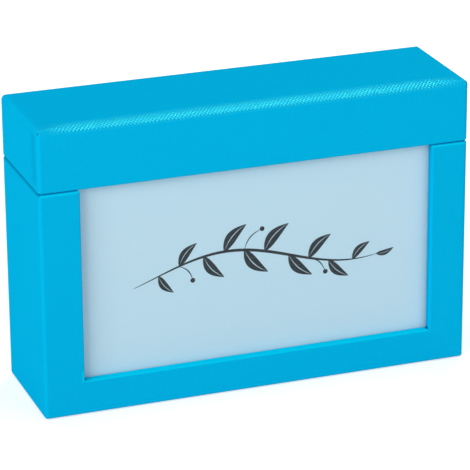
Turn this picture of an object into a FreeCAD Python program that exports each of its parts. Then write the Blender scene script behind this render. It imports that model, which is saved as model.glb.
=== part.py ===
import FreeCAD, Part
import math
import os

# Photo storage box: a covered board box with a hinged lid and a picture window in its front.
# Millimetres, +Z up, front towards -Y, origin at the centre of the underside.

# Overall size
overall_width = 175.0
overall_depth = 50.0
overall_height = 117.0
base_height = 91.8
rim_gap = 0.3

# Boards and sheets, by thickness
wall_board = 2.5
bottom_board = 2.5
top_board = 2.5
frame_board = 3.0
slot_wall_board = 2.0
cover_sheet = 0.4
slot_wall_sheet = 0.25
lining_sheet = 0.25
floor_sheet = 0.4
underside_sheet = 0.3
hinge_cloth = 0.4
film_sheet = 0.3
card_sheet = 0.5

# Edge roundings of the boards; the covering goes round them with its own thickness more
corner_radius = 1.2
lid_edge_radius = 1.1

# The covering's own rounding where it folds over boards that are cut square
fold_radius = 0.8

# The lid's soft front edge: how far it reaches back and down, in the middle and at both ends
soft_edge_depth = 9.0
soft_edge_drop = 2.4
soft_end_size = 1.0
soft_edge_taper = 14.0
soft_edge_stations = 8

# Picture window in the front
stile_left_width = 16.3
stile_right_width = 15.0
rail_height = 13.8
corner_slit = 1.5
slit_start = 0.05

# Film, card and slot behind the window
film_overlap = 6.0
film_drop = 1.0
slot_depth = 1.1
card_margin = 4.15
card_under_rail = 4.0
card_drop = 0.6
card_side_play = 0.5
card_front_play = 0.2
spacer_drop = 3.0
slot_wall_drop = 1.0

# Turn-unders, linings and the edge of the corner tabs on the lid's sides
underside_turn = 14.0
underside_inset = 3.0
lining_below_rim = 3.0
tab_width = 5.6
tab_line_width = 0.3
tab_line_depth = 0.2
tab_line_from_top = 2.2
tab_line_from_rim = 3.0

# Hinge cloth on the back
hinge_leaf_height = 14.0
hinge_side_inset = 2.5

# Play round loose-laid sheets, and how far a cutting block runs past what it cuts
fit_play = 0.15
cut_run = 10.0

# Turns a flat drawing into a cross-section of the box, seen from its right
cross_section = FreeCAD.Rotation(
    FreeCAD.Vector(0, 1, 0), FreeCAD.Vector(0, 0, 1), FreeCAD.Vector(1, 0, 0), "XYZ"
)

# Levels
lid_bottom = base_height + rim_gap
hinge_z = base_height + rim_gap / 2
walls_bottom = underside_sheet + cover_sheet
floor_top = walls_bottom + bottom_board
ceiling = overall_height - cover_sheet - top_board
card_bottom = rail_height - card_under_rail
card_top = base_height - card_drop
slot_wall_top = base_height - slot_wall_drop

# Planes from side to side
half_width = overall_width / 2
wall_inner_x = half_width - cover_sheet - wall_board
turn_in_x = wall_inner_x - cover_sheet
window_left = -half_width + stile_left_width
window_right = half_width - stile_right_width
card_left = window_left - card_margin
card_right = window_right + card_margin

# Planes from front to back
front_y = -overall_depth / 2
hinge_y = overall_depth / 2
back_y = hinge_y - hinge_cloth
back_inner_y = back_y - cover_sheet - wall_board
back_turn_in_y = back_inner_y - cover_sheet
frame_back_y = front_y + cover_sheet + frame_board
frame_turn_in_y = frame_back_y + cover_sheet
film_back_y = frame_turn_in_y + film_sheet
slot_back_y = film_back_y + slot_depth
slot_wall_front_y = slot_back_y + slot_wall_sheet
slot_wall_back_y = slot_wall_front_y + slot_wall_board
photo_front_y = slot_wall_back_y + slot_wall_sheet
lid_front_inner_y = front_y + cover_sheet + wall_board
lid_front_turn_in_y = lid_front_inner_y + cover_sheet


def block(x0, x1, y0, y1, z0, z1):
    """A square-edged block between two corners."""
    return Part.makeBox(x1 - x0, y1 - y0, z1 - z0, FreeCAD.Vector(x0, y0, z0))


def edges_along_z(shape):
    """The upright edges."""
    return [e for e in shape.Edges if e.BoundBox.XLength + e.BoundBox.YLength < 0.01]


def edges_at_level(shape, z):
    """The edges that lie in one level plane."""
    return [e for e in shape.Edges if max(abs(e.BoundBox.ZMin - z), abs(e.BoundBox.ZMax - z)) < 0.01]


def edges_inside(edges, box):
    """Those of the edges that lie within a box's outline, seen from above."""
    return [
        e
        for e in edges
        if min(e.BoundBox.XMin - box.XMin, e.BoundBox.YMin - box.YMin) > -0.01
        and min(box.XMax - e.BoundBox.XMax, box.YMax - e.BoundBox.YMax) > -0.01
    ]


def outline_block(inset, z0, z1):
    """The box's outline, drawn in by inset, between two levels, with rounded uprights."""
    body = block(-half_width + inset, half_width - inset, front_y + inset, back_y - inset, z0, z1)
    return body.makeFillet(corner_radius + cover_sheet - inset, edges_along_z(body))


def round_level(body, z, radius):
    """Rounds the edges that a body has at one level."""
    return body.makeFillet(radius, edges_at_level(body, z))


def hollow_out(body, hollow, rim):
    """Cuts a hollow out of a covering and folds the inner edges of its rim over."""
    walls = body.cut(hollow)
    mouth = edges_inside(edges_at_level(walls, rim), hollow.BoundBox)
    return walls.makeFillet(fold_radius, mouth)


def divide_walls(walls, front_inner_y, z_low, z_high):
    """The front, back, left and right boards that a ring of walls is made of, between two levels."""
    far = overall_width
    spaces = (
        (-far, far, -far, front_inner_y),
        (-far, far, back_inner_y, far),
        (-far, -wall_inner_x, front_inner_y, back_inner_y),
        (wall_inner_x, far, front_inner_y, back_inner_y),
    )
    return [walls.common(block(*space, z_low, z_high)) for space in spaces]


def window_space(inset):
    """The space cut through the front wall for the window, drawn outwards by inset."""
    above = base_height + cut_run
    left = window_left - inset
    right = window_right + inset
    return block(left, right, front_y - cut_run, slot_back_y, rail_height - inset, above)


def window_fold():
    """The space in front of the window where the covering rounds off into its turn-ins."""
    left = window_left - fold_radius
    right = window_right + fold_radius
    low = rail_height - fold_radius
    above = base_height + cut_run
    roll_y = front_y + fold_radius
    flare = block(left, right, front_y - cut_run, roll_y, low, above)
    for x in (left, right):
        start = FreeCAD.Vector(x, roll_y, 0)
        flare = flare.cut(Part.makeCylinder(fold_radius, above, start, FreeCAD.Vector(0, 0, 1)))
    start = FreeCAD.Vector(-half_width, roll_y, low)
    return flare.cut(Part.makeCylinder(fold_radius, overall_width, start, FreeCAD.Vector(1, 0, 0)))


def slit_space(x, inward):
    """The gap at a lower window corner, where the covering is slit and its two turn-ins part."""
    outlines = []
    fold_y = front_y + fold_radius
    for y, spread in ((fold_y, slit_start), (frame_turn_in_y, corner_slit)):
        x_low = x - inward * cover_sheet
        x_high = x + inward * spread
        z_low = rail_height - cover_sheet
        z_high = rail_height + spread
        corners = [(x_low, y, z_low), (x_high, y, z_low), (x_high, y, z_high), (x_low, y, z_high)]
        outlines.append(Part.makePolygon([FreeCAD.Vector(*c) for c in corners + corners[:1]]))
    return Part.makeLoft(outlines, True, True)


def make_base_boards():
    """The U-shaped frame board, the back and side boards and the bottom board between them."""
    body = outline_block(cover_sheet, walls_bottom, base_height - cover_sheet)
    hollow = block(-wall_inner_x, wall_inner_x, frame_back_y, back_inner_y, 0, overall_height)
    walls = body.cut(hollow).cut(window_space(cover_sheet))
    frame, back, left, right = divide_walls(walls, frame_back_y, 0, overall_height)
    bottom = block(-wall_inner_x, wall_inner_x, frame_back_y, back_inner_y, walls_bottom, floor_top)
    return {
        "front_frame_board": frame,
        "base_back_board": back,
        "base_left_board": left,
        "base_right_board": right,
        "base_bottom_board": bottom,
    }


def make_base_cover(boards):
    """The base's covering: over the outside, round the window and the rim, and down the inside."""
    body = outline_block(0, underside_sheet, base_height)
    body = round_level(body, base_height, fold_radius)
    body = round_level(body, underside_sheet, fold_radius)
    hollow = block(-turn_in_x, turn_in_x, frame_turn_in_y, back_turn_in_y, floor_top, overall_height)
    cover = hollow_out(body, hollow, base_height)
    cover = cover.cut(window_space(0)).cut(window_fold())
    turn = underside_turn
    underside = block(
        -half_width + turn, half_width - turn, front_y + turn, back_y - turn, 0, walls_bottom
    )
    cuts = [underside, slit_space(window_left, 1), slit_space(window_right, -1), *boards.values()]
    for cut in cuts:
        cover = cover.cut(cut)
    return cover


def make_lining(y_front, z_low, z_high):
    """A paper ring on the inner faces of four walls, and the outline of the space within it."""
    outer = block(-turn_in_x, turn_in_x, y_front, back_turn_in_y, z_low, z_high)
    sheet = lining_sheet
    inner = block(
        -turn_in_x + sheet, turn_in_x - sheet, y_front + sheet, back_turn_in_y - sheet, z_low, z_high
    )
    return outer.cut(inner), inner.BoundBox


def make_flat_lining(outline, z_low, z_high):
    """A sheet laid on the floor or ceiling, with a little play to the walls' lining."""
    return block(
        outline.XMin + fit_play,
        outline.XMax - fit_play,
        outline.YMin + fit_play,
        outline.YMax - fit_play,
        z_low,
        z_high,
    )


def make_base_sheets():
    """The sheet that closes the underside and the linings of the photo space."""
    inset = underside_inset
    underside = block(
        -half_width + inset, half_width - inset, front_y + inset, back_y - inset, 0, underside_sheet
    )
    underside = underside.makeFillet(corner_radius, edges_along_z(underside))
    walls, outline = make_lining(photo_front_y, floor_top, base_height - lining_below_rim)
    return {
        "base_bottom_sheet": underside,
        "base_wall_lining": walls,
        "base_floor_lining": make_flat_lining(outline, floor_top, floor_top + floor_sheet),
    }


def make_slot_wall():
    """The wall behind the card, and the paper folded over its top edge."""
    side = turn_in_x - fit_play
    wall = block(-side, side, slot_wall_front_y, slot_wall_back_y, floor_top, slot_wall_top)
    paper_top = slot_wall_top + slot_wall_sheet
    paper = block(-side, side, slot_back_y, photo_front_y, floor_top, paper_top)
    folds = [e for e in edges_at_level(paper, paper_top) if e.BoundBox.YLength < 0.01]
    return wall, paper.makeFillet(slot_wall_sheet, folds).cut(wall)


def make_card_slot():
    """What lies behind the window: film, card, the strips round the card and the wall behind it."""
    side = turn_in_x - fit_play
    film = block(
        window_left - film_overlap,
        window_right + film_overlap,
        frame_turn_in_y,
        film_back_y,
        rail_height - film_overlap,
        base_height - film_drop,
    )
    card_y = film_back_y + card_front_play
    card = block(card_left, card_right, card_y, card_y + card_sheet, card_bottom, card_top)
    guide_left = card_left - card_side_play
    guide_right = card_right + card_side_play
    strip_top = base_height - spacer_drop
    strips = {
        "left": block(-side, guide_left, film_back_y, slot_back_y, floor_top, strip_top),
        "right": block(guide_right, side, film_back_y, slot_back_y, floor_top, strip_top),
        "bottom": block(guide_left, guide_right, film_back_y, slot_back_y, floor_top, card_bottom),
    }
    wall, paper = make_slot_wall()
    slot = {"window_film": film, "picture_card": card, "slot_wall_board": wall, "slot_wall_cover": paper}
    for where, strip in strips.items():
        slot["slot_spacer_" + where] = strip
    return slot


def soft_edge_outline(x, depth, drop, inset):
    """What lies beyond the lid's soft front edge in one cross-section, for a surface drawn in by inset."""
    middle = (front_y + depth, overall_height - drop)
    ellipse = Part.Ellipse(FreeCAD.Vector(0, 0, 0), depth - inset, drop - inset)
    curve = Part.Arc(ellipse, math.pi / 2, math.pi).toShape()
    curve.Placement = FreeCAD.Placement(FreeCAD.Vector(x, *middle), cross_section)
    far_y = front_y - cut_run
    far_z = overall_height + cut_run
    corners = [
        (middle[0], overall_height - inset),
        (middle[0], far_z),
        (far_y, far_z),
        (far_y, middle[1]),
        (front_y + inset, middle[1]),
    ]
    sides = Part.makePolygon([FreeCAD.Vector(x, y, z) for y, z in corners])
    return Part.Wire([curve, *sides.Edges])


def soft_edge_space(inset):
    """The space beyond the lid's soft front edge, which fades out towards both corners."""
    outlines = []
    for side in (-1, 1):
        for station in range(soft_edge_stations + 1):
            share = station / soft_edge_stations
            grow = share * share * (3 - 2 * share)
            depth = soft_end_size + (soft_edge_depth - soft_end_size) * grow
            drop = soft_end_size + (soft_edge_drop - soft_end_size) * grow
            x = side * (half_width - share * soft_edge_taper)
            outlines.append((x, soft_edge_outline(x, depth, drop, inset)))
    outlines.sort(key=lambda outline: outline[0])
    return Part.makeLoft([outline for x, outline in outlines], True, True)


def make_lid_boards():
    """The lid's top board and the four boards under it."""
    top_level = overall_height - cover_sheet
    body = outline_block(cover_sheet, lid_bottom + cover_sheet, top_level)
    body = round_level(body, top_level, lid_edge_radius)
    hollow = block(-wall_inner_x, wall_inner_x, lid_front_inner_y, back_inner_y, 0, ceiling)
    body = body.cut(hollow).cut(soft_edge_space(cover_sheet))
    far = overall_width
    top = body.common(block(-far, far, -far, far, ceiling, overall_height))
    front, back, left, right = divide_walls(body, lid_front_inner_y, 0, ceiling)
    return {
        "lid_top_board": top,
        "lid_front_board": front,
        "lid_back_board": back,
        "lid_left_board": left,
        "lid_right_board": right,
    }


def make_lid_cover(boards):
    """The lid's covering, with a line on each side where the tab of a front corner ends."""
    body = outline_block(0, lid_bottom, overall_height)
    body = round_level(body, overall_height, lid_edge_radius + cover_sheet)
    body = round_level(body, lid_bottom, fold_radius)
    hollow = block(-turn_in_x, turn_in_x, lid_front_turn_in_y, back_turn_in_y, 0, ceiling)
    cover = hollow_out(body, hollow, lid_bottom).cut(soft_edge_space(0))
    for board in boards.values():
        cover = cover.cut(board)
    line_y = front_y + tab_width
    line_low = lid_bottom + tab_line_from_rim
    line_high = overall_height - tab_line_from_top
    for inner_x in (-half_width - cut_run + tab_line_depth, half_width - tab_line_depth):
        line = block(
            inner_x, inner_x + cut_run, line_y, line_y + tab_line_width, line_low, line_high
        )
        cover = cover.cut(line)
    return cover


def make_lid_linings():
    """Paper on the lid's walls and on its ceiling."""
    walls, outline = make_lining(lid_front_turn_in_y, lid_bottom + lining_below_rim, ceiling)
    top = make_flat_lining(outline, ceiling - lining_sheet, ceiling)
    return {"lid_wall_lining": walls, "lid_top_lining": top}


def make_hinge():
    """The cloth strip on the back, as its two leaves on each side of the fold line."""
    side = half_width - hinge_side_inset
    lower = block(-side, side, back_y, hinge_y, hinge_z - hinge_leaf_height, hinge_z)
    upper = block(-side, side, back_y, hinge_y, hinge_z, hinge_z + hinge_leaf_height)
    return {"base_hinge_cloth": lower, "lid_hinge_cloth": upper}


def write_piece(name, shape):
    """Writes one piece as a file of its own, if it is sound."""
    if not shape.isValid() or not shape.Solids:
        raise ValueError(name + " is not a sound solid")
    shape.exportStep("parts/" + name + ".step")
    print(name, len(shape.Solids), "solid,", round(shape.Volume, 1), "mm3")


os.makedirs("parts", exist_ok=True)
base_boards = make_base_boards()
lid_boards = make_lid_boards()
pieces = {
    **base_boards,
    "base_cover": make_base_cover(base_boards),
    **make_base_sheets(),
    **make_card_slot(),
    **lid_boards,
    "lid_cover": make_lid_cover(lid_boards),
    **make_lid_linings(),
    **make_hinge(),
}
for piece_name, piece in pieces.items():
    write_piece(piece_name, piece)
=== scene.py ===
import math

import bmesh
import bpy
from mathutils import Matrix, Vector


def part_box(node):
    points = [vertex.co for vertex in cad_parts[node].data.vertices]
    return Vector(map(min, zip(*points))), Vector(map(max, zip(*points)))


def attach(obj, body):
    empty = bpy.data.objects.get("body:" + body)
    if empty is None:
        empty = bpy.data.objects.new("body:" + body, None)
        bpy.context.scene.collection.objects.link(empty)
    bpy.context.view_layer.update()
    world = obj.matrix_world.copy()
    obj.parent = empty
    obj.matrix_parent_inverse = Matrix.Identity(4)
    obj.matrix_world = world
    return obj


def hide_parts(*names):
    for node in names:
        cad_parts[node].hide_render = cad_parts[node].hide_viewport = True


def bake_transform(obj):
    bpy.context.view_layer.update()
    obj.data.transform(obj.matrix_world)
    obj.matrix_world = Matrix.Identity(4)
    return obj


# A covered board box for photos: folded blue coverings, a printed card behind a window, a hinged lid.
# Metres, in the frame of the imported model, front towards -Y.

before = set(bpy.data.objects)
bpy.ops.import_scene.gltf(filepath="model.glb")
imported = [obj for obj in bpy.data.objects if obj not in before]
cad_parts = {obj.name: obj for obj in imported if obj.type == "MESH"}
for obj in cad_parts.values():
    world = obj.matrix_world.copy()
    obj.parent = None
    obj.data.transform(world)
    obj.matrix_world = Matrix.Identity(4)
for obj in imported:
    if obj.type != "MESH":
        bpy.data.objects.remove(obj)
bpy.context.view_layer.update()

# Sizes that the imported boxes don't give
covering_thickness = 0.00035
upright_radius = 0.0016
rim_radius = 0.0008
inner_fold_radius = 0.0003
film_overlap = 0.006
underside_turn = 0.014
slit_width = 0.0015
slit_apex = 0.0009

# The lid's edges: a plain rounding at the sides and back, a soft crushed one along the front.
# Near the corners the soft one narrows towards the end size, until the plain rounding takes over.
lid_edge_radius = 0.0022
soft_edge_depth = 0.0090
soft_edge_drop = 0.0024
soft_end_size = 0.0010
soft_taper = 0.014
top_border = 0.014

# The line beside each corner tab of the lid's covering
tab_width = 0.0056
tab_line_half_width = 0.00025
tab_line_depth = 0.00036
tab_line_from_rim = 0.0030
tab_line_from_top = 0.0022
tab_line_fade = 0.001

# The painted shade of the small fold at each of the lid's front corners
corner_fold_inset = 0.0005
corner_fold_core = 0.0002
corner_fold_reach = 0.0008

# How far the covering's colour goes to the painted shade's dark colour
tab_line_shade = 0.4
side_rim_shade = 0.42
window_fold_shade = 0.45

# Where those painted shades lie: over a share of the side rims' rounding, in the window from a depth
# behind the front to a little past the frame's back, and a little wider and deeper than the tab line
side_rim_share = 0.8
window_shade_start = 1.2 * rim_radius
window_shade_past = 0.0005
tab_shade_width = 1.2 * tab_line_half_width
tab_shade_depth = tab_line_depth + 0.0002

# Half the height over which the hinge cloth bends
bend = 0.0012

# How finely the coverings are drawn: steps along an edge, segments of a fold, and degrees of a turn
front_steps = 56
side_steps = 12
wall_steps = 12
fold_segments = 6
corner_turn = 15
rim_turn = 15
top_edge_turn = 6

# An edge of the base's walls is folded where its faces meet at more than this, in radians
least_fold = 1

# The grain of the sides and the back is laid this far from the front's, so that neither the rubbed edge
# nor its painted glint shows there
other_sheet = 0.2

# A face whose normal rises more than this is laid out with the level faces, as the lid's where it lies
# this far over the base's rim
level_slope = 0.71
over_rim = 0.001

# The drawing's ink stands this far off the card
ink_level = 0.00004

# The rubbed line with its painted glint on the unrolled sheet, measured from the lid's edge: start, full,
# fading and end
rub_glint_start = -0.0025
rub_glint_full = 0.0005
rub_glint_fade = 0.004
rub_glint_end = 0.008

# The ends of the rubbed line and its painted glint: where it begins to fade and where it is faintest, from
# the lid's sides
rub_glint_taper_start = 0.018
rub_glint_taper_end = 0.003
rub_glint_at_ends = 0.2

# The painted light on the window's sill and the front rim: the sill's depth and soft edges, and how pale
# the front rim is painted against the sill
sill_fold_depth = 0.004
sill_fold_soft = 0.0005
front_rim_share = 0.8

# The covering's grain: how far its rows lean and sway, and the heights where its tops begin and are full
grain_lean = 0.75
grain_sway = 0.35
tops_start = 1.2
tops_full = 2.1

# Painted colours of the covering: painted shade in creases and folds, painted light on the sill and front
# rim, and painted glint in the grooves and on the tops of the rubbed line's grain. The tint is that of its
# thin gloss.
painted_shade_colour = (0.0, 0.16, 0.34)
painted_light_colour = (0.0, 0.65, 0.95)
painted_glint_groove_colour = (0.0, 0.38, 0.69)
painted_glint_colour = (0.02, 0.66, 0.94)
gloss_tint = (0.09, 1.0, 0.90, 1)

# Places read from the frame
base_low, base_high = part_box("base_cover")
lid_low, lid_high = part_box("lid_cover")
film_low, film_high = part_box("window_film")
base_lining_low, base_lining_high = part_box("base_wall_lining")
lid_lining_low, lid_lining_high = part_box("lid_wall_lining")
card_low, card_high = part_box("picture_card")
leaf_low, leaf_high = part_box("base_hinge_cloth")
leaf_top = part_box("lid_hinge_cloth")[1]

front_y = base_low.y
back_y = base_high.y
half_width = base_high.x
turn_in_x = base_lining_high.x
turn_in_back = base_lining_high.y
frame_back = film_low.y
window_left = film_low.x + film_overlap
window_right = film_high.x - film_overlap
sill = film_low.z + film_overlap
floor_top = base_lining_low.z


# Helpers

def near(a, b):
    """True for two lengths that are the same to a hundredth of a millimetre."""
    return abs(a - b) < 1e-5


def ramp(value, start, end):
    """0 before start, 1 after end, smooth between."""
    t = min(max((value - start) / (end - start), 0), 1)
    return t * t * (3 - 2 * t)


def spread(low, high, count, ends=1.0):
    """Places between two values; ends above 1 draws them towards both ends."""
    middle, half = (low + high) / 2, (high - low) / 2
    places = []
    for i in range(count + 1):
        t = 2 * i / count - 1
        places.append(middle + half * math.copysign(1 - (1 - abs(t)) ** ends, t))
    return places


def new_object(name, data):
    """An object in the scene for a mesh, a lamp or a camera."""
    made = bpy.data.objects.new(name, data)
    bpy.context.scene.collection.objects.link(made)
    return made


def finished(made, name):
    """An object in the scene from a mesh that is done being edited."""
    mesh = bpy.data.meshes.new(name)
    made.to_mesh(mesh)
    made.free()
    return new_object(name, mesh)


def thicken(piece, thickness, even=False):
    """Gives a sheet its thickness on the inner side."""
    thick = piece.modifiers.new("thickness", "SOLIDIFY")
    thick.thickness = thickness
    thick.offset = -1
    thick.use_even_offset = even


def applied(piece):
    """The piece with its modifiers applied to its mesh."""
    graph = bpy.context.evaluated_depsgraph_get()
    mesh = bpy.data.meshes.new_from_object(piece.evaluated_get(graph))
    piece.modifiers.clear()
    piece.data = mesh
    return piece


def smooth_shaded(piece, angle=40):
    """Smooth shading that keeps large flat faces flat and edges over an angle sharp."""
    mesh = piece.data
    for face in mesh.polygons:
        face.use_smooth = True
    mesh.set_sharp_from_angle(angle=math.radians(angle))
    weighted = piece.modifiers.new("flat_faces", "WEIGHTED_NORMAL")
    weighted.keep_sharp = True
    return piece


def lay_grain(piece):
    """Stores where each corner lies on the covering, unrolled over the front and the lid's top."""
    mesh = piece.data
    grain = mesh.attributes.new("grain", "FLOAT_VECTOR", "CORNER")
    places = []
    for face in mesh.polygons:
        size = [abs(value) for value in face.normal]
        for corner in face.loop_indices:
            point = mesh.vertices[mesh.loops[corner].vertex_index].co
            if size[2] > level_slope:
                level = lid_high.z if point.z > base_high.z + over_rim else sill
                place = (point.x, point.y - front_y + level, 0)
            elif size[1] >= size[0]:
                place = (point.x, point.z - (other_sheet if face.normal.y > 0 else 0), 0)
            else:
                place = (point.y, point.z - other_sheet, 0)
            places.extend(place)
    grain.data.foreach_set("vector", places)
    return piece


def mark_painted_shade(piece, mark):
    """Stores the covering's painted shade at each point, by a function of its place."""
    painted_shade = piece.data.attributes.new("painted_shade", "FLOAT", "POINT")
    painted_shade.data.foreach_set("value", [mark(*vertex.co) for vertex in piece.data.vertices])
    return piece


# The base's covering

def box_cells(xs, ys, zs, filled, shown):
    """The outer faces of a body built of boxes between grid planes, where shown() wants them."""
    made = bmesh.new()
    points = {}
    axes = (xs, ys, zs)

    def point(index):
        if index not in points:
            points[index] = made.verts.new([axes[a][index[a]] for a in range(3)])
        return points[index]

    def is_filled(cell):
        if any(not 0 <= cell[a] < len(axes[a]) - 1 for a in range(3)):
            return False
        middle = [(axes[a][cell[a]] + axes[a][cell[a] + 1]) / 2 for a in range(3)]
        return filled(*middle)

    def add_face(cell, axis, side):
        b, c = [a for a in range(3) if a != axis]
        corners = []
        for step_b, step_c in ((0, 0), (1, 0), (1, 1), (0, 1)):
            index = list(cell)
            index[axis] += side
            index[b] += step_b
            index[c] += step_c
            corners.append(tuple(index))
        if (side == 1) == (axis == 1):
            corners.reverse()
        middle = sum((point(i).co for i in corners), Vector()) / 4
        normal = [0, 0, 0]
        normal[axis] = 2 * side - 1
        if shown(middle, normal):
            made.faces.new([point(i) for i in corners])

    for i in range(len(xs) - 1):
        for j in range(len(ys) - 1):
            for k in range(len(zs) - 1):
                cell = (i, j, k)
                if not is_filled(cell):
                    continue
                for axis in range(3):
                    for side in (0, 1):
                        beside = list(cell)
                        beside[axis] += 2 * side - 1
                        if not is_filled(tuple(beside)):
                            add_face(cell, axis, side)
    loose = [v for v in made.verts if not v.link_faces]
    bmesh.ops.delete(made, geom=loose, context="VERTS")
    return made


def slit_window_corners(made):
    """Parts the turn-ins at the two lower window corners, from near the front to the film."""
    for x in (window_left, window_right):
        corner = next(
            v for v in made.verts
            if near(v.co.x, x) and near(v.co.y, frame_back) and near(v.co.z, sill)
        )
        apex = made.verts.new((x, front_y + slit_apex, sill))
        turned_in = [f for f in corner.link_faces if abs(f.normal.y) < 0.5]
        for face in turned_in:
            ring = [apex if v is corner else v for v in face.verts]
            made.faces.remove(face)
            made.faces.new(ring)


def fold_radius(edge):
    """How round the covering runs over an edge of the base's walls."""
    a, b = (v.co for v in edge.verts)
    along_z = not near(a.z, b.z)
    if edge.is_boundary or edge.calc_face_angle(0) < least_fold:
        return 0
    if along_z and near(abs(a.x), half_width):
        return upright_radius
    if not along_z and near(a.z, base_high.z):
        return rim_radius
    if not along_z and near(a.z, base_low.z):
        return rim_radius
    if near(a.y, front_y) and near(b.y, front_y):
        return rim_radius
    if along_z:
        return inner_fold_radius
    return 0


def base_painted_shade(x, y, z):
    """The base covering's painted shade: at the side rims' fold and down to the film in the window."""
    beside_window = abs(abs(x) - window_right) < covering_thickness and z > sill + rim_radius
    if beside_window and front_y + window_shade_start < y < frame_back + window_shade_past:
        return window_fold_shade
    if abs(x) > half_width - rim_radius and z > base_high.z - side_rim_share * rim_radius:
        return side_rim_shade
    return 0


def make_base_covering():
    """The base's covering: outside, over the rim, round the window and under the edges."""
    inner_x = half_width - underside_turn
    inner_y = (front_y + underside_turn, back_y - underside_turn)
    xs = [
        -half_width, -turn_in_x, -inner_x, window_left, window_left + slit_width,
        window_right - slit_width, window_right, inner_x, turn_in_x, half_width,
    ]
    ys = [front_y, frame_back, *inner_y, turn_in_back, back_y]
    zs = [base_low.z, floor_top, sill, sill + slit_width, base_high.z]

    def in_walls(x, y, z):
        if z < floor_top:
            return True
        if abs(x) < turn_in_x and frame_back < y < turn_in_back:
            return False
        in_window = window_left < x < window_right and y < frame_back and z > sill
        return not in_window

    def is_covered(middle, normal):
        if normal[2] == 1 and near(middle.z, floor_top):
            return False
        bare = abs(middle.x) < inner_x and inner_y[0] < middle.y < inner_y[1]
        return not (normal[2] == -1 and bare)

    made = box_cells(sorted(xs), ys, zs, in_walls, is_covered)
    made.normal_update()
    slit_window_corners(made)
    made.normal_update()
    keep = [e for e in made.edges if not e.is_boundary]
    bmesh.ops.dissolve_limit(made, angle_limit=0.02, verts=made.verts, edges=keep)
    weights = made.edges.layers.float.new("bevel_weight_edge")
    for edge in made.edges:
        edge[weights] = fold_radius(edge) / upright_radius
    piece = finished(made, "base_covering")
    folds = piece.modifiers.new("folds", "BEVEL")
    folds.limit_method = "WEIGHT"
    folds.width = upright_radius
    folds.segments = fold_segments
    folds.use_clamp_overlap = False
    thicken(piece, covering_thickness, even=True)
    return smooth_shaded(mark_painted_shade(lay_grain(applied(piece)), base_painted_shade))


# The lid's covering

def lid_outline():
    """Places round the lid as (side, share): side is front, right, back or left, or a corner's angle."""
    across = spread(-1, 1, front_steps, ends=1.6)
    reach = lid_high.y - lid_low.y - 2 * upright_radius
    line = tab_width - upright_radius
    steps = (-3, -1, -0.5, 0, 0.5, 1, 3)
    clear = 0.04
    deep = [2 * (line + s * tab_line_half_width) / reach - 1 for s in steps]
    deep += [d for d in spread(-1, 1, side_steps) if d > max(deep) + clear or d < min(deep) - clear]
    deep.sort()
    turns = range(corner_turn, 90, corner_turn)
    outline = [("front", share) for share in across]
    outline += [("front right", turn) for turn in turns]
    outline += [("right", share) for share in deep]
    outline += [("back right", turn) for turn in turns]
    outline += [("back", -share) for share in across]
    outline += [("back left", turn) for turn in turns]
    outline += [("left", -share) for share in deep]
    outline += [("front left", turn) for turn in turns]
    return outline, across, deep


def outline_point(side, share, inset):
    """Where a place on the lid's outline lies when the outline is drawn in."""
    low_y, high_y = lid_low.y, lid_high.y
    round_by = max(inset, upright_radius)
    radius = max(upright_radius - inset, 0)
    middle_y = (low_y + high_y) / 2
    half_x = half_width - round_by
    half_y = (high_y - low_y) / 2 - round_by
    straight = {
        "front": (share * half_x, low_y + inset),
        "back": (share * half_x, high_y - inset),
        "right": (half_width - inset, middle_y + share * half_y),
        "left": (inset - half_width, middle_y + share * half_y),
    }
    if side in straight:
        return straight[side]
    start = {"front right": -90, "back right": 0, "back left": 90, "front left": 180}[side]
    angle = math.radians(start + share)
    centre_x = half_x if "right" in side else -half_x
    centre_y = middle_y + (half_y if "back" in side else -half_y)
    return centre_x + radius * math.cos(angle), centre_y + radius * math.sin(angle)


def soft_edge(side, share):
    """Depth and drop of the top edge's rounding at a place on the outline."""
    if side != "front":
        return lid_edge_radius, lid_edge_radius
    from_end = half_width - abs(outline_point(side, share, 0)[0])
    grow = ramp(from_end, 0, soft_taper)
    depth = soft_end_size + (soft_edge_depth - soft_end_size) * grow
    drop = soft_end_size + (soft_edge_drop - soft_end_size) * grow
    return max(depth, lid_edge_radius), max(drop, lid_edge_radius)


def along_tab_line(z):
    """1 at the heights where the line beside a corner tab runs, and 0 above and below it."""
    low = lid_low.z + tab_line_from_rim
    high = lid_high.z - tab_line_from_top
    above_start = ramp(z, low - tab_line_fade, low + tab_line_fade)
    return above_start * (1 - ramp(z, high - tab_line_fade, high + tab_line_fade))


def tab_dent(side, share, z):
    """How deep the line beside a corner tab lies at a place on the lid's sides."""
    if side not in ("left", "right"):
        return 0
    y = outline_point(side, share, 0)[1]
    across = max(1 - abs(y - lid_low.y - tab_width) / tab_line_half_width, 0)
    return tab_line_depth * across * along_tab_line(z)


def lid_painted_shade(x, y, z):
    """The lid covering's painted shade: at the side rims, beside the corner tabs and in two small folds.
    """
    if abs(x) > half_width - rim_radius and z < lid_low.z + side_rim_share * rim_radius:
        return side_rim_shade
    mark = 0
    if abs(x) > half_width - tab_shade_depth:
        across = max(1 - abs(y - lid_low.y - tab_width) / tab_shade_width, 0)
        mark = tab_line_shade * across * along_tab_line(z)
    from_side = half_width - corner_fold_inset - abs(x)
    from_front = y - lid_low.y - corner_fold_inset
    from_level = z - lid_high.z + soft_end_size
    from_fold = Vector((from_side, from_front, from_level)).length
    return max(mark, 1 - ramp(from_fold, corner_fold_core, corner_fold_reach))


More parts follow.
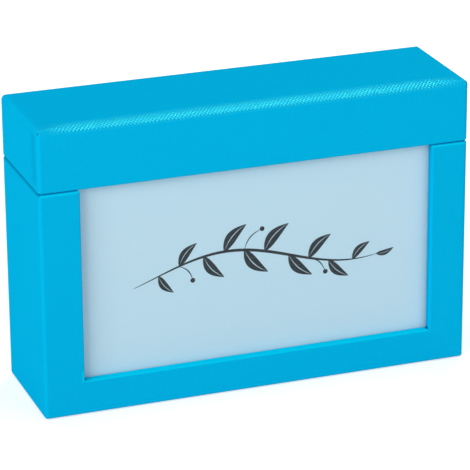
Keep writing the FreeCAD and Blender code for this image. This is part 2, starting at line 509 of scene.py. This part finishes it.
def lid_rows(outline):
    """The lid covering's rows of points, from inside the wall round the rim to the top's border."""
    wall = half_width - turn_in_x
    rim = lid_low.z
    inner_rows = [(wall, z) for z in (lid_lining_high.z, lid_lining_low.z, rim + 2 * rim_radius)]
    turns = [math.radians(angle) for angle in range(0, 91, rim_turn)]
    for turn in turns:
        inset = wall - rim_radius + rim_radius * math.cos(turn)
        inner_rows.append((inset, rim + rim_radius - rim_radius * math.sin(turn)))
    for turn in reversed(turns):
        inset = rim_radius - rim_radius * math.cos(turn)
        inner_rows.append((inset, rim + rim_radius - rim_radius * math.sin(turn)))
    rows = []
    for inset, z in inner_rows:
        rows.append([(*outline_point(*place, inset), z) for place in outline])
    for share in spread(0, 1, wall_steps, ends=1.5)[1:]:
        row = []
        for place in outline:
            top = lid_high.z - soft_edge(*place)[1]
            z = rim + rim_radius + share * (top - rim - rim_radius)
            row.append((*outline_point(*place, tab_dent(*place, z)), z))
        rows.append(row)
    for angle in range(top_edge_turn, 91, top_edge_turn):
        turn = math.radians(angle)
        row = []
        for place in outline:
            depth, drop = soft_edge(*place)
            inset = depth * (1 - math.cos(turn))
            z = lid_high.z - drop + drop * math.sin(turn)
            row.append((*outline_point(*place, inset), z))
        rows.append(row)
    for share in (0.15, 0.4, 0.7, 1):
        row = []
        for place in outline:
            depth = soft_edge(*place)[0]
            inset = depth + share * (top_border - depth)
            row.append((*outline_point(*place, inset), lid_high.z))
        rows.append(row)
    return rows


def make_lid_covering():
    """The lid's covering: inside the walls, round the rim, outside and over the top."""
    outline, across, deep = lid_outline()
    made = bmesh.new()
    rows = [[made.verts.new(point) for point in row] for row in lid_rows(outline)]
    for below, above in zip(rows, rows[1:]):
        for i in range(len(outline)):
            j = (i + 1) % len(outline)
            made.faces.new((below[i], below[j], above[j], above[i]))
    half_x = half_width - top_border
    low_y, high_y = lid_low.y + top_border, lid_high.y - top_border
    grid = []
    for b in deep:
        y = (low_y + high_y) / 2 + b * (high_y - low_y) / 2
        grid.append([made.verts.new((a * half_x, y, lid_high.z)) for a in across])
    for below, above in zip(grid, grid[1:]):
        for i in range(len(across) - 1):
            made.faces.new((below[i], below[i + 1], above[i + 1], above[i]))
    bmesh.ops.remove_doubles(made, verts=made.verts, dist=2e-6)
    bmesh.ops.recalc_face_normals(made, faces=made.faces)
    piece = finished(made, "lid_covering")
    thicken(piece, covering_thickness, even=True)
    return smooth_shaded(mark_painted_shade(lay_grain(applied(piece)), lid_painted_shade))


# The hinge's cloth

def make_hinge_cloth():
    """One strip of cloth over the back, with close rows at the fold."""
    fold_level = leaf_high.z
    reach = leaf_top.z - fold_level
    rows_per_bend, close_rows, columns = 8, 12, 40
    levels = [-reach, -0.75 * reach, -0.5 * reach, -0.25 * reach]
    levels += [bend * i / rows_per_bend for i in range(-close_rows, close_rows + 1)]
    levels += [0.25 * reach, 0.5 * reach, 0.75 * reach, reach]
    across = spread(leaf_low.x, leaf_high.x, columns)
    made = bmesh.new()
    rows = [[made.verts.new((x, leaf_high.y, fold_level + z)) for x in across] for z in levels]
    for below, above in zip(rows, rows[1:]):
        for i in range(len(across) - 1):
            made.faces.new((below[i + 1], below[i], above[i], above[i + 1]))
    piece = finished(made, "hinge_cloth")
    thicken(piece, leaf_high.y - leaf_low.y)
    return smooth_shaded(lay_grain(applied(piece)))


# The drawing on the card

def strip_faces(made, left, right):
    """Faces between two rows of points."""
    sides = [[made.verts.new(point) for point in row] for row in (left, right)]
    for i in range(len(left) - 1):
        corners = (sides[0][i], sides[0][i + 1], sides[1][i + 1], sides[1][i])
        if len({tuple(v.co) for v in corners}) > 2:
            made.faces.new(corners)


def on_card(point):
    """A point of the drawing, in card widths from its middle, as a place just off the card's face."""
    x = (card_low.x + card_high.x) / 2 + point.x * (card_high.x - card_low.x)
    z = (card_low.z + card_high.z) / 2 + point.y * (card_high.x - card_low.x)
    return Vector((x, card_low.y - ink_level, z))


def bowed(start, end, bow, count):
    """Points along an arc between two points that swings out sideways by a share of its length."""
    along = end - start
    aside = Vector((-along.y, along.x)) * bow
    return [start + along * (i / count) + aside * math.sin(math.pi * i / count) for i in range(count + 1)]


def pen_stroke(made, points, width, taper=0.15):
    """A pen stroke along points, thick in its middle and fine at both ends."""
    left, right = [], []
    for i, point in enumerate(points):
        along = (points[min(i + 1, len(points) - 1)] - points[max(i - 1, 0)]).normalized()
        share = math.sin(math.pi * i / (len(points) - 1))
        aside = Vector((-along.y, along.x)) * width * (taper + (1 - taper) * share) / 2
        left.append(on_card(point + aside))
        right.append(on_card(point - aside))
    strip_faces(made, left, right)


def leaf(made, start, end, width, bow):
    """A leaf in two halves, with its midrib left open between them."""
    steps, midrib_share = 18, 0.035
    middle = bowed(start, end, bow, steps)
    along = (end - start).normalized()
    aside = Vector((-along.y, along.x))
    for side in (-1, 1):
        inner, outer = [], []
        for i, point in enumerate(middle):
            t = i / steps
            gap = midrib_share * width * math.sin(math.pi * t)
            reach = width / 2 * math.sin(math.pi * t ** 0.8) ** 0.9 if 0 < t < 1 else 0
            inner.append(on_card(point + side * gap * aside))
            outer.append(on_card(point + side * max(reach, gap) * aside))
        strip_faces(made, inner, outer)


def berry(made, stalk, centre, radius):
    """A round berry on a thin curved stalk."""
    stalk_bow, stalk_steps, stalk_width = 0.15, 10, 0.003
    pen_stroke(made, bowed(stalk, centre, stalk_bow, stalk_steps), stalk_width)
    corners = 24
    ring = []
    for i in range(corners):
        angle = math.tau * i / corners
        turn = Vector((math.cos(angle), math.sin(angle)))
        ring.append(made.verts.new(on_card(centre + radius * turn)))
    made.faces.new(ring)


def make_sprig():
    """The drawing on the card: a swaying sprig with leaves on both sides and a few berries."""
    made = bmesh.new()
    reach, sway, rise = 0.33, 0.040, 0.02
    waves, phase = 0.9, -0.5
    pen_width, berry_radius = 0.008, 0.0065
    leaf_count, first_leaf, leaf_spacing = 10, 0.10, 0.088
    end_leaf_size, middle_leaf_gain, leaf_width = 0.050, 0.045, 0.33
    first_angle, angle_loss = 52, 12
    steps = 60
    stem = []
    for i in range(steps + 1):
        t = i / steps
        height = sway * math.sin(math.tau * t * waves + phase) + rise * t
        stem.append(Vector((reach * (2 * t - 1), height)))
    pen_stroke(made, stem, pen_width)
    for number in range(leaf_count):
        t = first_leaf + leaf_spacing * number
        foot = stem[round(steps * t)]
        side = 1 if number % 2 else -1
        size = end_leaf_size + middle_leaf_gain * math.sin(math.pi * t)
        angle = math.radians(side * (first_angle - angle_loss * t))
        tip = foot + size * Vector((math.cos(angle), math.sin(angle)))
        leaf(made, foot, tip, leaf_width * size, 0.10 * side)
        if number % 3 == 1:
            spot = foot + 0.75 * size * Vector((math.cos(angle), -math.sin(angle)))
            berry(made, foot, spot, berry_radius)
    end = stem[-1]
    last_leaf = Vector((0.05, 0.012))
    leaf(made, end, end + last_leaf, width=0.015, bow=-0.1)
    for face in made.faces:
        face.normal_update()
        if face.normal.y > 0:
            face.normal_flip()
    piece = finished(made, "sprig")
    thicken(piece, ink_level / 2)
    return applied(piece)


# Materials

def new_material(name):
    """An empty material, its node tree and its main shader."""
    material = bpy.data.materials.new(name)
    material.use_nodes = True
    tree = material.node_tree
    return material, tree, tree.nodes["Principled BSDF"]


def add(tree, kind, settings=None, **inputs):
    """A new node with its settings and inputs; an input is a value or another node's output."""
    node = tree.nodes.new(kind)
    for key, value in (settings or {}).items():
        setattr(node, key, value)
    for key, value in inputs.items():
        socket = node.inputs[int(key[1:])] if key[0] == "i" and key[1:].isdigit() else node.inputs[key]
        if isinstance(value, bpy.types.NodeSocket):
            tree.links.new(value, socket)
        else:
            socket.default_value = value
    return node


def math_node(tree, operation, a, b=0.0):
    """The result of one sum on two values."""
    return add(tree, "ShaderNodeMath", {"operation": operation}, i0=a, i1=b).outputs[0]


def product(tree, *values):
    """Values multiplied with each other."""
    result = values[0]
    for value in values[1:]:
        result = math_node(tree, "MULTIPLY", result, value)
    return result


def vector_node(tree, operation, **inputs):
    """A node that does one sum on vectors."""
    return add(tree, "ShaderNodeVectorMath", {"operation": operation}, **inputs)


def noise(tree, place, scale, detail=2.0, roughness=0.5):
    """A noise pattern's value."""
    node = add(tree, "ShaderNodeTexNoise", Vector=place, Scale=scale, Detail=detail, Roughness=roughness)
    return node.outputs[0]


def bump(tree, height, distance, strength=1.0):
    """Normals that follow a pattern's height."""
    return add(tree, "ShaderNodeBump", Height=height, Strength=strength, Distance=distance).outputs[0]


def ramp_between(tree, factor, low, high):
    """A colour between two, by a factor."""
    ends = [c if isinstance(c, bpy.types.NodeSocket) else (*c, 1) for c in (low, high)]
    mix = add(tree, "ShaderNodeMix", {"data_type": "RGBA"}, i0=factor, i6=ends[0], i7=ends[1])
    return mix.outputs[2]


def stepped(tree, value, start, end, first=0.0, last=1.0):
    """A value that goes straight from first to last between start and end, and stays level beyond."""
    return add(tree, "ShaderNodeMapRange", i0=value, i1=start, i2=end, i3=first, i4=last).outputs[0]


def rubbed_and_glint_band(tree, place):
    """How strongly the grain's tops are rubbed and carry the painted glint: along the lid's front edge,
    unevenly, less at its ends.
    """
    parts = add(tree, "ShaderNodeSeparateXYZ", i0=place).outputs
    edge = lid_high.z
    below = stepped(tree, parts["Y"], edge + rub_glint_start, edge + rub_glint_full)
    above = stepped(tree, parts["Y"], edge + rub_glint_fade, edge + rub_glint_end, 1.0, 0.0)
    aside = math_node(tree, "ABSOLUTE", parts["X"])
    ends = stepped(
        tree, aside, half_width - rub_glint_taper_start, half_width - rub_glint_taper_end, 1.0, rub_glint_at_ends
    )
    least_strength, most_strength = 0.6, 1.4
    rub_glint_strength = stepped(tree, noise(tree, place, scale=420.0), 0.3, 0.7, least_strength, most_strength)
    return product(tree, product(tree, below, above), product(tree, ends, rub_glint_strength))


def painted_sill_and_rim_light(tree, place):
    """Where the covering carries painted light: the window's sill and the front rim."""
    parts = add(tree, "ShaderNodeSeparateXYZ", i0=place).outputs
    above = stepped(tree, parts["Y"], sill - sill_fold_soft, sill + 0.4 * sill_fold_soft)
    far_side = sill + sill_fold_depth
    below = stepped(tree, parts["Y"], far_side, far_side + sill_fold_soft, 1.0, 0.0)
    aside = math_node(tree, "ABSOLUTE", parts["X"])
    within = stepped(tree, aside, window_right - 0.8 * sill_fold_soft, window_right, 1.0, 0.0)
    on_sill = product(tree, above, below, within)
    rim = stepped(tree, parts["Y"], base_high.z - 1.5 * rim_radius, base_high.z - 0.7 * rim_radius)
    under_lid = stepped(tree, parts["Y"], base_high.z, base_high.z + 0.0001, 1.0, 0.0)
    on_rim = product(tree, rim, under_lid, front_rim_share)
    return math_node(tree, "MAXIMUM", on_sill, on_rim)


def grain_height(tree, place, pitch):
    """The embossed grain's height: two crossing rows of pillows that sway a little, and fine fibres."""
    cloud = add(tree, "ShaderNodeTexNoise", Vector=place, Scale=260.0, Detail=1.0).outputs["Color"]
    sway = vector_node(tree, "SCALE", i0=cloud, Scale=grain_sway * pitch)
    moved = vector_node(tree, "ADD", i0=place, i1=sway.outputs[0]).outputs[0]
    turn = math.pi / pitch
    pillows = []
    for lean in (grain_lean, -grain_lean):
        across = vector_node(tree, "DOT_PRODUCT", i0=moved, i1=(turn, lean * turn, 0))
        wave = math_node(tree, "SINE", across.outputs["Value"])
        pillows.append(math_node(tree, "ABSOLUTE", wave))
    fibre_share = 0.5
    fibres = product(tree, noise(tree, place, scale=1500.0), fibre_share)
    return math_node(tree, "ADD", math_node(tree, "ADD", *pillows), fibres)


def covering_colour(tree, place, tops, band, low, high):
    """The covering's colour: faint clouds, then the rubbed line's painted glint, the painted light on the
    sill and front rim, and the painted shade.
    """
    clouds = ramp_between(tree, noise(tree, place, scale=45.0, detail=4.0), low, high)
    # Painted glint: pale grain tops and dark grooves along the rubbed line
    painted_glint = ramp_between(tree, tops, painted_glint_groove_colour, painted_glint_colour)
    colour = ramp_between(tree, band, clouds, painted_glint)
    # Painted light on the window's sill and on the front rim
    colour = ramp_between(tree, painted_sill_and_rim_light(tree, place), colour, painted_light_colour)
    # Painted shade at the side rims, the window returns, beside the corner tabs and in the corner folds
    painted_shade = add(tree, "ShaderNodeAttribute", {"attribute_name": "painted_shade"}).outputs["Fac"]
    return ramp_between(tree, painted_shade, colour, painted_shade_colour)


def make_covering_material(name, low, high, pitch, depth, gloss, rubbed_gloss, roughness):
    """Embossed covering paper: small diamond pillows, matt, with a thin blue-green gloss on their tops."""
    material, tree, shader = new_material(name)
    place = add(tree, "ShaderNodeAttribute", {"attribute_name": "grain"}).outputs["Vector"]
    height = grain_height(tree, place, pitch)
    tops = stepped(tree, height, tops_start, tops_full)
    band = rubbed_and_glint_band(tree, place)
    colour = covering_colour(tree, place, tops, band, low, high)
    matt_relief = 0.3
    tree.links.new(colour, shader.inputs["Base Color"])
    tree.links.new(bump(tree, height, matt_relief * depth), shader.inputs["Normal"])
    shader.inputs["Roughness"].default_value = 0.8
    shader.inputs["Specular IOR Level"].default_value = 0.0
    relief = bump(tree, height, depth)
    shine = add(
        tree, "ShaderNodeBsdfAnisotropic", Color=gloss_tint, Roughness=roughness, Normal=relief
    )
    on_tops = product(tree, tops, gloss)
    on_rubbed = product(tree, product(tree, tops, band), rubbed_gloss)
    mix = add(tree, "ShaderNodeMixShader", i0=math_node(tree, "ADD", on_tops, on_rubbed))
    tree.links.new(shader.outputs[0], mix.inputs[1])
    tree.links.new(shine.outputs[0], mix.inputs[2])
    tree.links.new(mix.outputs[0], tree.nodes["Material Output"].inputs[0])
    return material


def colour_fibres(tree, shader, low, high):
    """Gives a shader the colours of a board's coarse fibres, and returns their pattern."""
    place = add(tree, "ShaderNodeTexCoord").outputs["Object"]
    fibres = noise(tree, place, scale=900.0, detail=6.0, roughness=0.7)
    tree.links.new(ramp_between(tree, fibres, low, high), shader.inputs["Base Color"])
    shader.inputs["Roughness"].default_value = 0.9
    return fibres


def make_board_material():
    """Solid greyboard with pale and dark fibres."""
    material, tree, shader = new_material("greyboard")
    fibres = colour_fibres(tree, shader, low=(0.22, 0.20, 0.18), high=(0.44, 0.42, 0.38))
    tree.links.new(bump(tree, fibres, distance=0.0001, strength=0.5), shader.inputs["Normal"])
    return material


def make_frame_board_material():
    """Board coloured near-black blue, a painted shade that shows where the covering is slit."""
    material, tree, shader = new_material("slit_shade_board")
    colour_fibres(tree, shader, low=(0.004, 0.012, 0.03), high=(0.012, 0.03, 0.06))
    shader.inputs["Specular IOR Level"].default_value = 0.2
    return material


def make_paper_material(name, low, high, gloss=0.3):
    """Matt paper with fine fibres and faint clouds."""
    material, tree, shader = new_material(name)
    place = add(tree, "ShaderNodeTexCoord").outputs["Object"]
    fibres = noise(tree, place, scale=1400.0, detail=5.0, roughness=0.65)
    clouds = noise(tree, place, scale=30.0, detail=3.0)
    both = math_node(tree, "ADD", product(tree, fibres, 0.5), product(tree, clouds, 0.5))
    tree.links.new(ramp_between(tree, both, low, high), shader.inputs["Base Color"])
    tree.links.new(bump(tree, fibres, distance=0.00004, strength=0.4), shader.inputs["Normal"])
    shader.inputs["Roughness"].default_value = 0.75
    shader.inputs["Specular IOR Level"].default_value = gloss
    return material


def make_film_material():
    """Clear film, seen only by a faint even gloss."""
    material, tree, shader = new_material("clear_film")
    place = add(tree, "ShaderNodeTexCoord").outputs["Object"]
    ripple = noise(tree, place, scale=60.0, detail=1.0)
    tree.links.new(bump(tree, ripple, distance=0.0001, strength=0.2), shader.inputs["Normal"])
    shader.inputs["Base Color"].default_value = (0.9, 0.95, 1.0, 1)
    shader.inputs["Alpha"].default_value = 0.03
    shader.inputs["Roughness"].default_value = 0.25
    return material


def paint(name, material):
    """Gives a carried-over node its material."""
    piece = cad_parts[name]
    piece.data.materials.clear()
    piece.data.materials.append(material)


# Stage

def seen_rays(tree):
    """1 for rays that show the background: the camera's, and those in reflections and clear sheets."""
    path = add(tree, "ShaderNodeLightPath").outputs
    seen = math_node(tree, "MAXIMUM", path["Is Camera Ray"], path["Is Glossy Ray"])
    return math_node(tree, "MAXIMUM", seen, path["Is Transmission Ray"])


def make_floor():
    """A pale floor that keeps the object's shadow and glows for the rays that see it, more so far off."""
    half = 6.0
    level = -0.0002
    near_glow, far_glow = 0.53, 0.745
    near_distance, far_distance = 0.3, 1.5
    mesh = bpy.data.meshes.new("floor")
    corners = [(-half, -half, level), (half, -half, level), (half, half, level), (-half, half, level)]
    mesh.from_pydata(corners, [], [(0, 1, 2, 3)])
    floor = new_object("floor", mesh)
    material = bpy.data.materials.new("floor")
    material.use_nodes = True
    tree = material.node_tree
    tree.nodes.clear()
    white = add(tree, "ShaderNodeBsdfDiffuse", Color=(0.8, 0.8, 0.8, 1))
    place = add(tree, "ShaderNodeTexCoord").outputs["Object"]
    away = vector_node(tree, "LENGTH", i0=place).outputs["Value"]
    lift = stepped(tree, away, near_distance, far_distance, near_glow, far_glow)
    glow = add(tree, "ShaderNodeEmission", Color=(1, 1, 1, 1), Strength=lift)
    lifted = add(tree, "ShaderNodeAddShader", i0=white.outputs[0], i1=glow.outputs[0])
    mix = add(
        tree, "ShaderNodeMixShader", i0=seen_rays(tree), i1=white.outputs[0], i2=lifted.outputs[0]
    )
    add(tree, "ShaderNodeOutputMaterial", i0=mix.outputs[0])
    mesh.materials.append(material)


def make_world(strength):
    """A plain soft dome that looks white behind the object."""
    world = bpy.data.worlds.new("studio")
    bpy.context.scene.world = world
    world.use_nodes = True
    tree = world.node_tree
    tree.nodes.clear()
    dome = add(tree, "ShaderNodeBackground", Color=(1, 1, 1, 1), Strength=strength)
    white = add(tree, "ShaderNodeBackground", Color=(1, 1, 1, 1), Strength=1.0)
    mix = add(
        tree, "ShaderNodeMixShader", i0=seen_rays(tree), i1=dome.outputs[0], i2=white.outputs[0]
    )
    add(tree, "ShaderNodeOutputWorld", i0=mix.outputs[0])


def add_lamp(name, place, aim, size, power, colour=(1, 1, 1)):
    """A soft box at a place, turned to a point."""
    lamp = bpy.data.lights.new(name, "AREA")
    lamp.shape = "RECTANGLE"
    lamp.size, lamp.size_y = size
    lamp.energy = power
    lamp.color = colour
    holder = new_object(name, lamp)
    holder.location = place
    holder.rotation_mode = "QUATERNION"
    holder.rotation_quaternion = (Vector(aim) - Vector(place)).to_track_quat("-Z", "Y")


def make_camera():
    """The photograph's view: a long lens from the left front, a little above."""
    place = (-0.3658, -1.0184, 0.4696)
    yaw, pitch, roll = (math.radians(angle) for angle in (-19.723, 20.942, -0.447))
    back = Vector((math.sin(yaw) * math.cos(pitch), -math.cos(yaw) * math.cos(pitch), math.sin(pitch)))
    right = (-back).cross(Vector((0, 0, 1))).normalized()
    up = right.cross(-back)
    turned_right = math.cos(roll) * right + math.sin(roll) * up
    turned_up = math.cos(roll) * up - math.sin(roll) * right
    data = bpy.data.cameras.new("camera")
    data.sensor_width = 36
    data.lens = 225.0
    data.clip_start, data.clip_end = 0.01, 50
    camera = new_object("camera", data)
    axes = Matrix((turned_right, turned_up, back)).transposed()
    camera.matrix_world = Matrix.Translation(place) @ axes.to_4x4()
    bpy.context.scene.camera = camera


# The scene's materials

covering = make_covering_material(
    "blue_covering",
    low=(0.0, 0.46, 0.82),
    high=(0.0, 0.48, 0.84),
    pitch=0.0015,
    depth=0.00007,
    gloss=0.03,
    rubbed_gloss=0.13,
    roughness=0.2,
)
cloth = make_covering_material(
    "hinge_cloth",
    low=(0.0, 0.41, 0.72),
    high=(0.0, 0.43, 0.75),
    pitch=0.0008,
    depth=0.00004,
    gloss=0.03,
    rubbed_gloss=0.03,
    roughness=0.5,
)
greyboard = make_board_material()
slit_shade_board = make_frame_board_material()
lining = make_paper_material("lining_paper", low=(0.74, 0.73, 0.69), high=(0.82, 0.81, 0.78))
blue_sheet = make_paper_material("blue_sheet", low=(0.0, 0.44, 0.78), high=(0.0, 0.50, 0.86))
print_paper = make_paper_material("printed_card", low=(0.52, 0.76, 0.905), high=(0.55, 0.79, 0.935))
ink = make_paper_material("ink", low=(0.0, 0.008, 0.014), high=(0.002, 0.014, 0.022), gloss=0.0)
film = make_film_material()

# The pieces that take the place of packed ones

base_covering = make_base_covering()
base_covering.data.materials.append(covering)
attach(base_covering, "base")
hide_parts("base_cover")

lid_covering = make_lid_covering()
lid_covering.data.materials.append(covering)
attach(lid_covering, "lid")
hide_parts("lid_cover")

hinge = make_hinge_cloth()
hinge.data.materials.append(cloth)
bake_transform(hinge)
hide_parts("base_hinge_cloth", "lid_hinge_cloth")

sprig = make_sprig()
sprig.data.materials.append(ink)
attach(sprig, "card")

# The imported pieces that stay, with their materials

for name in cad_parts:
    if name.endswith("_board"):
        # The frame board's near-black colour is painted shade in the window's corner slits
        paint(name, slit_shade_board if name == "front_frame_board" else greyboard)
    elif name.startswith("slot_spacer"):
        paint(name, greyboard)
    elif "lining" in name or name == "slot_wall_cover":
        paint(name, lining)
paint("base_bottom_sheet", blue_sheet)
paint("picture_card", print_paper)
paint("window_film", film)

# The camera, the floor and the light

make_camera()
make_floor()
make_world(0.32)
box_middle = (0, 0, 0.06)
warm_white = (1.0, 1.0, 0.96)
add_lamp("overhead", place=(0.40, 0.63, 1.10), aim=(0, 0, 0.1), size=(0.32, 0.9), power=4.6)
add_lamp(
    "left", place=(-1.84, -1.16, 1.07), aim=box_middle, size=(1.6, 1.6), power=36.5, colour=warm_white
)
add_lamp(
    "right_front", place=(1.09, -1.88, 1.07), aim=box_middle, size=(1.6, 1.6), power=11, colour=warm_white
)

scene = bpy.context.scene
scene.view_settings.view_transform = "Standard"
